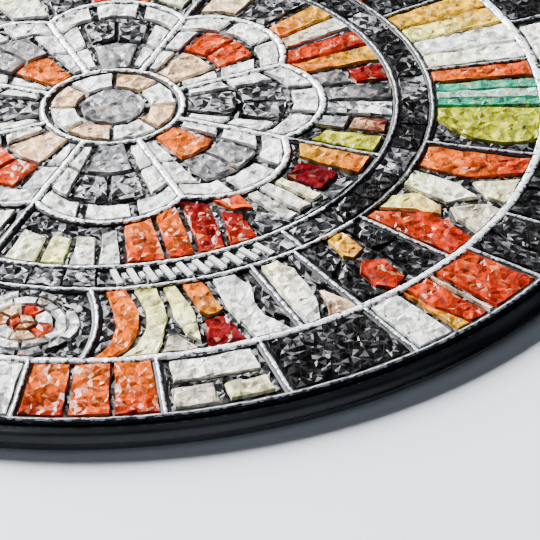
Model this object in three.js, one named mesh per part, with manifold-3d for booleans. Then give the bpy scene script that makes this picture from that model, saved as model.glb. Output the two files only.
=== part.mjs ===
// A stained glass suncatcher: a round leaded panel in a black metal rim, with an eye to hang it by.
// Millimetres, +Z up. The disc lies flat with its face up, its axis on Z and the rim's underside on
// z = 0. The panel is one lattice of came, whose section is an H: a flat flange below, a crowned one
// above and a web between them. Its rings and rays part the disc into panes, and each pane lies
// between the two flanges. Angles are in degrees, counter-clockwise from +X.

import * as THREE from 'three';
import { mergeVertices } from 'three/addons/utils/BufferGeometryUtils.js';
import Module from 'manifold-3d';

const wasm = await Module();
wasm.setup();

// Widths of the rings from the centre outwards, each to the middle of its came
const CENTRE_RADIUS = 13;
const PETAL_LENGTH = 26;
const BORDER_WIDTH = 13.7;
const BAND_WIDTH = 6.6;
const MIDDLE_RING_WIDTH = 20.4;
const OUTER_RING_WIDTH = 15.6;

// How far a petal's round end stands out past the valleys beside it
const LOBE_RISE = 5;

// Where each ring's first ray stands
const ROSETTE_START = -112.5;
const BAND_START = -110;
const MIDDLE_START = -110;
const OUTER_START = -98.5;

// The came and the glass in it
const WEB_WIDTH = 1.2;
const FLANGE_WIDTH = 3.4;
const FLANGE_THICKNESS = 0.5;
const CROWN_WIDTH = 2;
const CROWN_HEIGHT = 0.9;
const GLASS_THICKNESS = 2.2;
const GLASS_CLEARANCE = 0.3;
const BOSS_RISE = 0.3;
const BOSS_MARGIN = 0.8;

// The rim, whose ledge carries the panel
const RIM_WIDTH = 3.8;
const RIM_HEIGHT = 3.2;
const RIM_ROUNDING = 1.5;
const LEDGE_DEPTH = 2;
const LEDGE_THICKNESS = 0.6;
const PANEL_CLEARANCE = 0.3;

// The hanging eye, soldered to the outside of the rim
const EYE_HOLE_DIAMETER = 7;
const EYE_WALL = 3.5;
const EYE_THICKNESS = 2.2;
const EYE_STANDOFF = 5.5;
const EYE_FOOT_WIDTH = 24;
const EYE_FOOT_RISE = 1;
const EYE_ANGLE = 90;
const SOLDER_GAP = 0.3;

// How finely the curves are divided
const CHORD_SAG = 0.32;
const RIM_FACETS = 60;
const ROUNDING_STEPS = 2;
const BOW_STEPS = 4;
const EYE_FACETS = 32;

// The panes of each ring in order, counter-clockwise. share is the pane's part of the repeat, and
// bow is how far the ray at its start swells sideways, towards the pane that follows that ray.
const OUTER_REPEATS = 4;
const OUTER_PANES = [
  { share: 15, glass: 'orange' },
  { share: 12.5, glass: 'cream' },
  { share: 14, glass: 'black' },
  { share: 18, glass: 'red' },
  { share: 9, glass: 'black' },
  { share: 21.5, glass: 'white' },
];
const MIDDLE_REPEATS = 2;
const MOTIF_BOW = 1.8;
const MIDDLE_PANES = [
  { share: 17.7, glass: 'black', bow: -MOTIF_BOW },
  { share: 27.1, glass: 'orange', bow: MOTIF_BOW },
  { share: 8.2, glass: 'white' },
  { share: 15, glass: 'black' },
  { share: 26.3, glass: 'red' },
  { share: 24.7, glass: 'green' },
  { share: 21, glass: 'yellow' },
  { share: 40, glass: 'black' },
];
const BAND_REPEATS = 2;
const BAND_PANES = [
  { share: 55, glass: 'black' },
  { share: 125, glass: 'black' },
];
const BORDER_GLASS = ['cream', 'red', 'orange', 'yellow'];
const PETALS_PER_BORDER_PANE = 2;
const PETAL_GLASS = ['white', 'orange'];

const COLOURS = {
  orange: '#f06e14',
  red: '#e13c0f',
  yellow: '#e6be1e',
  green: '#148264',
  cream: '#ebe4c8',
  white: '#e4e6de',
  black: '#0c0c0e',
};

// Radii and heights that follow from these
const petalTips = CENTRE_RADIUS + PETAL_LENGTH;
const bandInner = petalTips + BORDER_WIDTH;
const bandOuter = bandInner + BAND_WIDTH;
const middleOuter = bandOuter + MIDDLE_RING_WIDTH;
const glassOuter = middleOuter + OUTER_RING_WIDTH;
const panelRadius = glassOuter + WEB_WIDTH / 2;
const rimInner = panelRadius + PANEL_CLEARANCE;
const rimOuter = rimInner + RIM_WIDTH;
const glassBottom = LEDGE_THICKNESS + FLANGE_THICKNESS;
const glassTop = glassBottom + GLASS_THICKNESS;
const crownTop = glassTop + CROWN_HEIGHT;
const crownSlope = (FLANGE_WIDTH - CROWN_WIDTH) / 2;
const petalCount = BORDER_GLASS.length * PETALS_PER_BORDER_PANE;
const petalSweep = 360 / petalCount;

const radians = THREE.MathUtils.degToRad;

function polar(radius, angle) {
  return new THREE.Vector2(radius * Math.cos(radians(angle)), radius * Math.sin(radians(angle)));
}

// Points along an arc about the origin, both ends included, in chords that sag by CHORD_SAG at most
function arc(radius, from, to) {
  const widest = 2 * Math.acos(1 - CHORD_SAG / radius);
  const steps = Math.ceil(Math.abs(radians(to - from)) / widest);
  return Array.from({ length: steps + 1 }, (_, i) => polar(radius, from + ((to - from) * i) / steps));
}

function circle(radius, facets) {
  return Array.from({ length: facets }, (_, i) => polar(radius, -90 + (360 * i) / facets));
}

// Points of a ray between its ends, for a ray that swells sideways by bow at its middle
function bowedRay(inner, outer, angle, bow) {
  if (bow === 0) return [];
  const sideways = polar(1, angle + 90);
  const parts = Array.from({ length: BOW_STEPS - 1 }, (_, i) => (i + 1) / BOW_STEPS);
  return parts.map((part) => polar(THREE.MathUtils.lerp(inner, outer, part), angle)
    .addScaledVector(sideways, 4 * bow * part * (1 - part)));
}

// One pane's outline in a ring, between two rays
function ringPane(inner, outer, from, to, bowFrom = 0, bowTo = 0) {
  return [
    ...arc(outer, from, to),
    ...bowedRay(inner, outer, to, bowTo).reverse(),
    ...arc(inner, to, from),
    ...bowedRay(inner, outer, from, bowFrom),
  ];
}

// The round end of a petal, from one valley to the next, an arc about a point on the petal's axis
function lobe(from) {
  const half = radians(petalSweep / 2);
  const valley = petalTips - LOBE_RISE;
  const along = valley * Math.cos(half);
  const across = valley * Math.sin(half);
  const radius = ((along - petalTips) ** 2 + across ** 2) / (2 * (petalTips - along));
  const axis = from + petalSweep / 2;
  const centre = polar(petalTips - radius, axis);
  const spread = THREE.MathUtils.radToDeg(Math.atan2(across, along - petalTips + radius));
  return arc(radius, axis - spread, axis + spread).map((point) => point.add(centre));
}

// An outline moved inwards by a distance, side by side, with its corners mitred
function inset(outline, distance) {
  const sides = outline.map((start, i) => {
    const along = outline[(i + 1) % outline.length].clone().sub(start).normalize();
    const inward = new THREE.Vector2(-along.y, along.x);
    return { start: start.clone().addScaledVector(inward, distance), along };
  });
  return sides.map((side, i) => {
    const last = sides.at(i - 1);
    const turn = last.along.cross(side.along);
    if (Math.abs(turn) < 1e-9) return side.start.clone();
    const reach = side.start.clone().sub(last.start).cross(side.along) / turn;
    return last.start.clone().addScaledVector(last.along, reach);
  });
}

const level = (outline, z) => outline.map(({ x, y }) => new THREE.Vector3(x, y, z));

// A closed solid from a list of levels, bottom first, with the same number of points in each. Its
// wall joins every level to the next, and the first and last are filled in.
function plate(levels) {
  const corners = [];
  for (let k = 0; k + 1 < levels.length; k += 1) {
    const lower = levels[k];
    const upper = levels[k + 1];
    lower.forEach((corner, i) => {
      const next = (i + 1) % lower.length;
      corners.push(corner, lower[next], upper[next], corner, upper[next], upper[i]);
    });
  }
  for (const triangle of THREE.ShapeUtils.triangulateShape([...levels[0]], [])) {
    const facingUp = triangle.map((i) => levels[0][i]);
    if (THREE.ShapeUtils.isClockWise(facingUp)) triangle.reverse();
    const [a, b, c] = triangle;
    corners.push(levels[0][c], levels[0][b], levels[0][a]);
    corners.push(levels.at(-1)[a], levels.at(-1)[b], levels.at(-1)[c]);
  }
  return closed(new THREE.BufferGeometry().setFromPoints(corners));
}

// The same geometry with its shared vertices merged
function closed(geometry) {
  geometry.deleteAttribute('normal');
  geometry.deleteAttribute('uv');
  const merged = mergeVertices(geometry, 1e-4);
  merged.computeVertexNormals();
  return merged;
}

function toManifold(geometry) {
  const merged = closed(geometry);
  return new wasm.Manifold(new wasm.Mesh({
    numProp: 3,
    vertProperties: new Float32Array(merged.attributes.position.array),
    triVerts: new Uint32Array(merged.index.array),
  }));
}

function fromManifold(solid) {
  const mesh = solid.getMesh();
  const geometry = new THREE.BufferGeometry();
  geometry.setAttribute('position', new THREE.BufferAttribute(mesh.vertProperties, 3));
  geometry.setIndex(new THREE.BufferAttribute(mesh.triVerts, 1));
  geometry.computeVertexNormals();
  return geometry;
}

const glassMaterial = (glass) => new THREE.MeshStandardMaterial({
  name: `glass_${glass}`, color: COLOURS[glass], roughness: 0.15, metalness: 0,
});
const cameMaterial = new THREE.MeshStandardMaterial({
  name: 'came', color: '#c8ccd2', roughness: 0.35, metalness: 1,
});
const rimMaterial = new THREE.MeshStandardMaterial({
  name: 'rim', color: '#0d0f13', roughness: 0.45, metalness: 0.2,
});

const suncatcher = new THREE.Group();

function addPiece(name, geometry, material) {
  const piece = new THREE.Mesh(geometry, material);
  piece.name = name;
  suncatcher.add(piece);
}

// Every pane's name, glass and outline to the middle of the came round it
const panes = [];

function layRing(name, inner, outer, start, repeats, pattern) {
  const whole = pattern.reduce((sum, pane) => sum + pane.share, 0) * repeats;
  let from = start;
  for (let i = 0; i < repeats * pattern.length; i += 1) {
    const pane = pattern[i % pattern.length];
    const next = pattern[(i + 1) % pattern.length];
    const to = from + (360 * pane.share) / whole;
    const outline = ringPane(inner, outer, from, to, pane.bow ?? 0, next.bow ?? 0);
    panes.push({ name: `${name}_${String(i + 1).padStart(2, '0')}`, glass: pane.glass, outline });
    from = to;
  }
}

function layRosette() {
  for (let i = 0; i < petalCount; i += 1) {
    const from = ROSETTE_START + petalSweep * i;
    const outline = [...lobe(from), ...arc(CENTRE_RADIUS, from + petalSweep, from)];
    panes.push({ name: `petal_${i + 1}`, glass: PETAL_GLASS[i % PETAL_GLASS.length], outline });
  }
  BORDER_GLASS.forEach((glass, i) => {
    const sweep = petalSweep * PETALS_PER_BORDER_PANE;
    const from = ROSETTE_START + sweep * i;
    const valleys = Array.from({ length: PETALS_PER_BORDER_PANE }, (_, k) => from + petalSweep * k);
    const scallops = valleys.reverse().flatMap((valley) => lobe(valley).reverse().slice(0, -1));
    const outline = [...arc(bandInner, from, from + sweep), ...scallops, lobe(from)[0]];
    panes.push({ name: `border_pane_${i + 1}`, glass, outline });
  });
  const round = arc(CENTRE_RADIUS, 0, 360).slice(1);
  panes.push({ name: 'centre_pane', glass: 'red', outline: round, pressed: true });
}

layRing('outer_pane', middleOuter, glassOuter, OUTER_START, OUTER_REPEATS, OUTER_PANES);
layRing('middle_pane', bandOuter, middleOuter, MIDDLE_START, MIDDLE_REPEATS, MIDDLE_PANES);
layRing('band_pane', bandInner, bandOuter, BAND_START, BAND_REPEATS, BAND_PANES);
layRosette();

// The pane in the centre is a pressed boss, which stands out of its came in front and behind
for (const { name, glass, outline, pressed } of panes) {
  const edge = inset(outline, WEB_WIDTH / 2 + GLASS_CLEARANCE);
  const levels = [level(edge, glassBottom), level(edge, glassTop)];
  if (pressed) {
    const boss = inset(outline, FLANGE_WIDTH / 2 + BOSS_MARGIN);
    levels.unshift(level(boss, glassBottom - BOSS_RISE), level(boss, glassBottom));
    levels.push(level(boss, glassTop), level(boss, glassTop + BOSS_RISE));
  }
  addPiece(name, plate(levels), glassMaterial(glass));
}

// The came's lattice: a round plate with a hole for each pane, wider where the glass sits
function cameLattice() {
  const edge = circle(panelRadius, RIM_FACETS);
  let lattice = toManifold(plate([
    level(edge, LEDGE_THICKNESS),
    level(edge, glassTop),
    level(circle(panelRadius - crownSlope, RIM_FACETS), crownTop),
  ]));
  for (const { outline } of panes) {
    const flange = inset(outline, FLANGE_WIDTH / 2);
    const web = inset(outline, WEB_WIDTH / 2);
    const crown = inset(outline, CROWN_WIDTH / 2);
    lattice = lattice.subtract(toManifold(plate([
      level(flange, 0),
      level(flange, glassBottom),
      level(web, glassBottom),
      level(web, glassTop),
      level(flange, glassTop),
      level(crown, crownTop),
      level(crown, crownTop + CROWN_HEIGHT),
    ])));
  }
  return fromManifold(lattice);
}

// The rim: a ring turned to one section, with round outer edges and a ledge inside at its foot
function rimRing() {
  const rounding = Math.min(RIM_ROUNDING, RIM_HEIGHT / 2, RIM_WIDTH);
  const section = [new THREE.Vector2(rimInner - LEDGE_DEPTH, 0)];
  for (const [height, from] of [[rounding, -90], [RIM_HEIGHT - rounding, 0]]) {
    const centre = new THREE.Vector2(rimOuter - rounding, height);
    for (let i = 0; i <= ROUNDING_STEPS; i += 1) {
      section.push(polar(rounding, from + (90 * i) / ROUNDING_STEPS).add(centre));
    }
  }
  section.push(new THREE.Vector2(rimInner, RIM_HEIGHT));
  section.push(new THREE.Vector2(rimInner, LEDGE_THICKNESS));
  section.push(new THREE.Vector2(rimInner - LEDGE_DEPTH, LEDGE_THICKNESS));
  section.push(section[0].clone());
  return closed(new THREE.LatheGeometry(section, RIM_FACETS).rotateX(Math.PI / 2));
}

// The hanging eye: a flat tab with a hole, whose foot widens and curves to the rim
function hangingEye() {
  const eyeRadius = EYE_HOLE_DIAMETER / 2 + EYE_WALL;
  const reach = rimOuter + EYE_STANDOFF;
  const halfFoot = EYE_FOOT_WIDTH / 2;
  const footEnd = Math.sqrt(rimOuter ** 2 - halfFoot ** 2);
  const tab = new THREE.Shape();
  tab.moveTo(-halfFoot, footEnd - RIM_WIDTH);
  tab.lineTo(halfFoot, footEnd - RIM_WIDTH);
  tab.lineTo(halfFoot, footEnd + EYE_FOOT_RISE);
  tab.absarc(0, reach, eyeRadius, 0, Math.PI, false);
  tab.lineTo(-halfFoot, footEnd + EYE_FOOT_RISE);
  const hole = new THREE.Path().absarc(0, reach, EYE_HOLE_DIAMETER / 2, 0, 2 * Math.PI, true);
  tab.holes.push(hole);
  const sheet = new THREE.ExtrudeGeometry(tab, {
    depth: EYE_THICKNESS, bevelEnabled: false, curveSegments: EYE_FACETS / 2,
  });
  sheet.translate(0, 0, (RIM_HEIGHT - EYE_THICKNESS) / 2);
  const disc = new THREE.CylinderGeometry(
    rimOuter + SOLDER_GAP, rimOuter + SOLDER_GAP, 3 * RIM_HEIGHT, RIM_FACETS,
  );
  disc.rotateX(Math.PI / 2);
  return fromManifold(toManifold(sheet).subtract(toManifold(disc)));
}

addPiece('came_lattice', cameLattice(), cameMaterial);
addPiece('rim', rimRing(), rimMaterial);
const eye = hangingEye();
eye.rotateZ(radians(EYE_ANGLE - 90));
addPiece('hanging_eye', eye, rimMaterial);

export default suncatcher;
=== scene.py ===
import math
import random

import bmesh
import bpy
import numpy as np
from mathutils import Matrix, Vector
from mathutils.geometry import delaunay_2d_cdt


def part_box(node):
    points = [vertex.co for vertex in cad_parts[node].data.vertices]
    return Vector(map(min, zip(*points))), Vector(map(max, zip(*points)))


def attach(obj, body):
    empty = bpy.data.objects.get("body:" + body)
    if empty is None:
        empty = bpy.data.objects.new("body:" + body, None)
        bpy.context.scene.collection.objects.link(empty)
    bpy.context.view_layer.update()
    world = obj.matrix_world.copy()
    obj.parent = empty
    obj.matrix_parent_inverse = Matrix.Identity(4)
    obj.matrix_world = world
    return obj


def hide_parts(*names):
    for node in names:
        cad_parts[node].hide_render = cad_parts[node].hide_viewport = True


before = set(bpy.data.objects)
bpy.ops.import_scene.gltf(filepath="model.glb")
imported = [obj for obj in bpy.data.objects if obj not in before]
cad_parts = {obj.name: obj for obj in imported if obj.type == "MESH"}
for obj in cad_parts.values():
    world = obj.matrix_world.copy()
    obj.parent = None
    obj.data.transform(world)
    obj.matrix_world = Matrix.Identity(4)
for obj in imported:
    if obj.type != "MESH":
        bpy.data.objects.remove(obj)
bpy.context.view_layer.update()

# The table: a pale floor under the disc, seen from the near side, and the camera,
# a long lens that looks down by about a third of a right angle at the disc's near right quarter.
MM = 0.001
LENS = 200.0
SENSOR = 36.0
CAMERA_HEIGHT_ANGLE = math.radians(34.6)
CAMERA_ROLL = math.radians(-1.85)
CAMERA_DISTANCE = 512.0 * MM
NEAR_CLIP = 10.0 * MM
LOOK_AT = Vector((28.1 * MM, -54.3 * MM, 3.2 * MM))


def linked(name, data):
    """A new object that holds this data, in the scene."""
    made = bpy.data.objects.new(name, data)
    bpy.context.collection.objects.link(made)
    return made


back = Vector((0.0, -math.cos(CAMERA_HEIGHT_ANGLE), math.sin(CAMERA_HEIGHT_ANGLE)))
level_right = Vector((1.0, 0.0, 0.0))
level_up = back.cross(level_right)
right = level_right * math.cos(CAMERA_ROLL) + level_up * math.sin(CAMERA_ROLL)
up = back.cross(right)
camera = linked("camera", bpy.data.cameras.new("camera"))
camera.data.lens = LENS
camera.data.sensor_width = SENSOR
camera.data.clip_start = NEAR_CLIP
camera.matrix_world = Matrix.Translation(LOOK_AT + back * CAMERA_DISTANCE) @ Matrix(
    (right, up, back)
).transposed().to_4x4()
bpy.context.scene.camera = camera


class Wire:
    """An output socket of a node tree. Arithmetic on it adds Math nodes to the tree."""

    def __init__(self, tree, socket=None):
        self.tree = tree
        self.socket = socket

    def node(self, kind, sockets, output=None, **settings):
        """Adds a node: its settings first, then its sockets' values or links, by identifier. Without
        an output's name, the wire is the node's first output.
        """
        made = self.tree.nodes.new(kind)
        for name, value in settings.items():
            setattr(made, name, value)
        by_identifier = {socket.identifier: socket for socket in made.inputs}
        for name, value in sockets.items():
            if isinstance(value, Wire):
                self.tree.links.new(value.socket, by_identifier[name])
            else:
                by_identifier[name].default_value = value
        outputs = {socket.identifier: socket for socket in made.outputs}
        chosen = outputs[output] if output else next(iter(made.outputs), None)
        return Wire(self.tree, chosen)

    def math(self, operation, first, second=0.0):
        return self.node("ShaderNodeMath", {"Value": first, "Value_001": second}, operation=operation)

    def __add__(self, other):
        return self.math("ADD", self, other)

    def __radd__(self, other):
        return self.math("ADD", other, self)

    def __sub__(self, other):
        return self.math("SUBTRACT", self, other)

    def __rsub__(self, other):
        return self.math("SUBTRACT", other, self)

    def __mul__(self, other):
        return self.math("MULTIPLY", self, other)

    def __rmul__(self, other):
        return self.math("MULTIPLY", other, self)

    def clamped(self, low, high):
        """1 where this is above high, 0 below low, and smooth between."""
        return self.node(
            "ShaderNodeMapRange",
            {"Value": self, "From Min": low, "From Max": high, "To Min": 0.0, "To Max": 1.0},
            interpolation_type="SMOOTHSTEP",
        )

    def blend(self, first, second):
        """The first colour where this is 0 and the second where it is 1."""
        return self.node(
            "ShaderNodeMix",
            {"Factor_Float": self, "A_Color": first, "B_Color": second},
            output="Result_Color",
            data_type="RGBA",
        )


def new_material(name):
    """A material with an empty tree, and a wire to add its nodes with."""
    material = bpy.data.materials.new(name)
    material.use_nodes = True
    material.node_tree.nodes.clear()
    return material, Wire(material.node_tree)


def finish_material(start, sockets):
    """One Principled surface with these sockets, as the material's output."""
    surface = start.node("ShaderNodeBsdfPrincipled", sockets)
    start.node("ShaderNodeOutputMaterial", {"Surface": surface})


FLOOR_HALF = 3.0
floor_mesh = bpy.data.meshes.new("floor")
floor_mesh.from_pydata(
    [(x * FLOOR_HALF, y * FLOOR_HALF, 0) for x, y in ((-1, -1), (1, -1), (1, 1), (-1, 1))],
    [],
    [(0, 1, 2, 3)],
)
floor = linked("floor", floor_mesh)
paper, start = new_material("pale_floor")
finish_material(start, {"Base Color": (0.84, 0.88, 0.93, 1), "Roughness": 0.7})
floor_mesh.materials.append(paper)

# Soft light: one large lamp behind the disc and to the left, which throws the short shadow towards
# the camera, and a dark sky with one soft glow high up on the camera's side, which the rim reflects.
KEY_POWER = 150.0
KEY_AZIMUTH = math.radians(-38)
KEY_ELEVATION = math.radians(23)
KEY_DISTANCE = 1.2
KEY_SIZE = 0.8
SKY_DARK = (0.008, 0.0085, 0.010, 1)
SKY_GLOW = (0.25, 0.27, 0.31, 1)
GLOW_HEIGHT = math.radians(60)

key = bpy.data.lights.new("key", "AREA")
key.shape = "SQUARE"
key.size = KEY_SIZE
key.energy = KEY_POWER
direction = Vector((
    math.sin(KEY_AZIMUTH) * math.cos(KEY_ELEVATION),
    math.cos(KEY_AZIMUTH) * math.cos(KEY_ELEVATION),
    math.sin(KEY_ELEVATION),
))
holder = linked("key", key)
holder.location = direction * KEY_DISTANCE
holder.rotation_euler = direction.to_track_quat("Z", "Y").to_euler()


def vector_math(start, operation, first, output="Vector", **others):
    """A Vector Math node on a first vector and the other sockets given."""
    sockets = {"Vector": first, **others}
    return start.node("ShaderNodeVectorMath", sockets, output=output, operation=operation)


world = bpy.data.worlds.new("soft_sky")
bpy.context.scene.world = world
world.use_nodes = True
world.node_tree.nodes.clear()
start = Wire(world.node_tree)
towards = start.node("ShaderNodeTexCoord", {}, output="Generated")
glow_way = (0.0, -math.cos(GLOW_HEIGHT), math.sin(GLOW_HEIGHT))
near_glow = vector_math(start, "DOT_PRODUCT", towards, output="Value", Vector_001=glow_way)
sky = near_glow.clamped(0.55, 1.0).blend(SKY_DARK, SKY_GLOW)
glow = start.node("ShaderNodeBackground", {"Color": sky, "Strength": 1.0})
start.node("ShaderNodeOutputWorld", {"Surface": glow})

# The rim: a ring of metal with a satin black coat, flat on top, with a round shoulder outside and a
# ledge at its foot that carries the panel. It is swept round in one piece.
rim_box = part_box("rim")
RIM_OUTER = rim_box[1][0]
RIM_WIDTH = 3.8 * MM
RIM_INNER = RIM_OUTER - RIM_WIDTH
RIM_HEIGHT = rim_box[1][2]
LEDGE_DEPTH = 2.0 * MM
LEDGE_THICKNESS = 0.6 * MM
RIM_FACETS = 360
RIM_SHOULDER = 2.1 * MM
RIM_CORNER = 0.35 * MM
CORNER_STEPS = 3
SIDE_TURN = math.radians(14)
SHOULDER_STEPS = 20
CRISP_ANGLE = math.radians(50)


def socket_of(tree, name):
    """The identifier of a tree's input, by which a modifier's value is set."""
    return next(item.identifier for item in tree.interface.items_tree if item.name == name)


def node_group(name, inputs):
    """A geometry node tree with a Geometry input and these (name, type, default) inputs."""
    tree = bpy.data.node_groups.new(name, "GeometryNodeTree")
    tree.interface.new_socket("Geometry", in_out="OUTPUT", socket_type="NodeSocketGeometry")
    tree.interface.new_socket("Geometry", in_out="INPUT", socket_type="NodeSocketGeometry")
    for label, kind, value in inputs:
        socket = tree.interface.new_socket(label, in_out="INPUT", socket_type=kind)
        if value is not None:
            socket.default_value = value
    given = tree.nodes.new("NodeGroupInput")
    return tree, {socket.name: Wire(tree, socket) for socket in given.outputs if socket.name}


def end_group(tree, geometry, material):
    """Realize Instances, Set Material and the tree's output."""
    start = Wire(tree)
    real = start.node("GeometryNodeRealizeInstances", {"Geometry": geometry})
    dressed = start.node("GeometryNodeSetMaterial", {"Geometry": real, "Material": material})
    result = tree.nodes.new("NodeGroupOutput")
    tree.links.new(dressed.socket, result.inputs[0])


def grow(source, tree, values, name, smooth):
    """Runs a tree on an object with these input values, and returns the result as a plain mesh."""
    modifier = source.modifiers.new("grow", "NODES")
    modifier.node_group = tree
    for label, value in values.items():
        modifier[socket_of(tree, label)] = value
    shaped = source.evaluated_get(bpy.context.evaluated_depsgraph_get())
    mesh = bpy.data.meshes.new_from_object(shaped)
    mesh.name = name
    bpy.data.objects.remove(source)
    mesh.polygons.foreach_set("use_smooth", [smooth] * len(mesh.polygons))
    return linked(name, mesh)


def line_object(name, paths):
    """A curve object with one straight-segment spline for each (points, closed) path."""
    curve = bpy.data.curves.new(name, "CURVE")
    curve.dimensions = "3D"
    for points, is_closed in paths:
        spline = curve.splines.new("POLY")
        spline.points.add(len(points) - 1)
        spline.points.foreach_set("co", [c for x, y, z in points for c in (x, y, z, 1.0)])
        spline.use_cyclic_u = is_closed
    return linked(name, curve)


def revolved(name, section, facets):
    """A closed section of (radius, height) points turned round Z."""
    count = len(section)
    spots = []
    for i in range(facets):
        turn = 2 * math.pi * i / facets
        spots += [(r * math.cos(turn), r * math.sin(turn), z) for r, z in section]
    faces = []
    for i in range(facets):
        for k in range(count):
            a = i * count + k
            b = i * count + (k + 1) % count
            c = (i + 1) % facets * count + (k + 1) % count
            d = (i + 1) % facets * count + k
            faces.append((a, d, c, b))
    mesh = bpy.data.meshes.new(name)
    mesh.from_pydata(spots, [], faces)
    return linked(name, mesh)


def rim_section():
    """The rim's section, from the ledge's inner foot outwards and back over the top."""
    rounding = RIM_HEIGHT / 2
    points = [(RIM_INNER - LEDGE_DEPTH, 0.0), (RIM_OUTER - rounding, 0.0)]
    for i in range(SHOULDER_STEPS + 1):
        turn = math.radians(90 * i / SHOULDER_STEPS)
        if turn > SIDE_TURN:
            out = RIM_OUTER - RIM_SHOULDER + RIM_SHOULDER * math.cos(turn)
            points.append((out, rounding + rounding * math.sin(turn)))
    for i in range(CORNER_STEPS + 1):
        turn = math.radians(90 + 90 * i / CORNER_STEPS)
        out = RIM_INNER + RIM_CORNER + RIM_CORNER * math.cos(turn)
        points.append((out, RIM_HEIGHT - RIM_CORNER + RIM_CORNER * math.sin(turn)))
    points.append((RIM_INNER, LEDGE_THICKNESS))
    points.append((RIM_INNER - LEDGE_DEPTH, LEDGE_THICKNESS))
    return points


def noise(start, place, scale, detail, output="Fac"):
    """Noise with about scale lumps to the metre, and detail finer layers."""
    sockets = {"Vector": place, "Scale": scale, "Detail": detail}
    return start.node("ShaderNodeTexNoise", sockets, output=output)


def bump(start, height, strength, distance):
    """A normal from a height, for relief too fine to be mesh."""
    sockets = {"Height": height, "Strength": strength, "Distance": distance}
    return start.node("ShaderNodeBump", sockets)


black_coat, start = new_material("satin_black_coat")
place = start.node("ShaderNodeTexCoord", {}, output="Object")
fine = noise(start, place, 2600.0, 2.0)
cloud = noise(start, place, 90.0, 3.0)
grain = bump(start, fine, 0.12, 0.05 * MM)
finish_material(start, {
    "Base Color": cloud.clamped(0.35, 0.7).blend((0.003, 0.0036, 0.005, 1), (0.006, 0.0072, 0.010, 1)),
    "Roughness": cloud * 0.05 + 0.10,
    "IOR": 1.75,
    "Specular IOR Level": 1.0,
    "Normal": grain,
})

rim = revolved("rim_coated", rim_section(), RIM_FACETS)
rim.data.polygons.foreach_set("use_smooth", [True] * len(rim.data.polygons))
rim.data.materials.append(black_coat)
edge_split = rim.modifiers.new("crisp_corners", "EDGE_SPLIT")
edge_split.split_angle = CRISP_ANGLE
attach(rim, "root")
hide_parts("rim")

# The panel's layout: rings and rays of came, whose middle lines these sizes give.
CENTRE_RADIUS = 13.0 * MM
PETAL_TIPS = 39.0 * MM
BAND_INNER = 52.7 * MM
BAND_OUTER = 59.3 * MM
MIDDLE_OUTER = 79.7 * MM
PANEL_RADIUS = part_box("came_lattice")[1][0]
GLASS_OUTER = PANEL_RADIUS - 0.6 * MM
LOBE_RISE = 5.0 * MM
PETALS = 8
PETAL_SWEEP = 360.0 / PETALS
ROSETTE_START = -112.5
BAND_START = -110.0
MIDDLE_START = -110.0
OUTER_START = -98.5
MOTIF_BOW = 1.8 * MM
OUTER_SWEEPS = [15, 12.5, 14, 18, 9, 21.5] * 4
MIDDLE_SWEEPS = [17.7, 27.1, 8.2, 15, 26.3, 24.7, 21, 40] * 2
BAND_SWEEPS = [55, 125] * 2
BORDER_SWEEPS = [90] * 4
GLASS_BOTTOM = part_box("petal_1")[0][2]
GLASS_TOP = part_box("petal_1")[1][2]
CROWN_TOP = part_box("came_lattice")[1][2]

half = math.radians(PETAL_SWEEP / 2)
valley_along = (PETAL_TIPS - LOBE_RISE) * math.cos(half)
valley_across = (PETAL_TIPS - LOBE_RISE) * math.sin(half)
LOBE_RADIUS = ((valley_along - PETAL_TIPS) ** 2 + valley_across**2) / (2 * (PETAL_TIPS - valley_along))
LOBE_CENTRE = PETAL_TIPS - LOBE_RADIUS


def lobe_reach(angle, grown=0.0):
    """How far out the petals' scalloped edge is at an angle, moved out by grown."""
    turn = (angle - ROSETTE_START) % PETAL_SWEEP - PETAL_SWEEP / 2
    across = LOBE_CENTRE * math.sin(math.radians(turn))
    along = LOBE_CENTRE * math.cos(math.radians(turn))
    return along + math.sqrt((LOBE_RADIUS + grown) ** 2 - across**2)


def starts(first, sweeps):
    """The angle where each cell of a ring starts, and where it ends."""
    edges = [first]
    for sweep in sweeps:
        edges.append(edges[-1] + sweep)
    return list(zip(edges[:-1], edges[1:], strict=True))


def spot(radius, angle, height):
    """A place round the middle, by its radius, its angle in degrees and its height."""
    turn = math.radians(angle)
    return (radius * math.cos(turn), radius * math.sin(turn), height)


# The came: strips of lead with a black patina, soldered where they meet, each with a bead of tin along its
# crown. The beads are wide on the ring and the petals, and thin on the rays and the edge. Their tin is one
# metal painted at three brightnesses, which stand in for how much light each bead catches. It is painted
# bright, with a painted highlight, on the ring, the petals, the centre ring and the band's two rings in the
# near arc. It is painted grey on the rays and the edge, and painted dark on the rest of the band's rings.
FLANGE_WIDTH = 1.9 * MM
RING_BEAD = 1.6 * MM
BAND_BEAD = 0.9 * MM
RAY_BEAD = 0.7 * MM
EDGE_BEAD = 0.7 * MM
PETAL_BEAD = 1.25 * MM
DARK_ARC_BEAD = 0.6 * MM
BRIGHT_FROM = -128
BRIGHT_TO = -44
EDGE_GAP = 0.1 * MM
BEAD_SUNK = 0.16 * MM
BEAD_WOBBLE = 0.4 * MM
FLANGE_HEIGHT = 0.35 * MM
FLANGE_LIFT = 0.12 * MM
WEB_WIDTH = 1.2 * MM
WEB_HEIGHT = 1.4 * MM
FOOT_HEIGHT = 0.25 * MM
RING_STEPS = 720
ARC_STEPS = 400
RAY_STEPS = 16
WIRE_SIDES = 14


def ring_path(radius):
    """A whole ring."""
    return ([spot(radius, 360 * i / RING_STEPS, 0.0) for i in range(RING_STEPS)], True)


def arc_path(radius, first, last):
    """A part of a ring, between two angles."""
    sweep = last - first
    return ([spot(radius, first + sweep * i / ARC_STEPS, 0.0) for i in range(ARC_STEPS + 1)], False)


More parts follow.
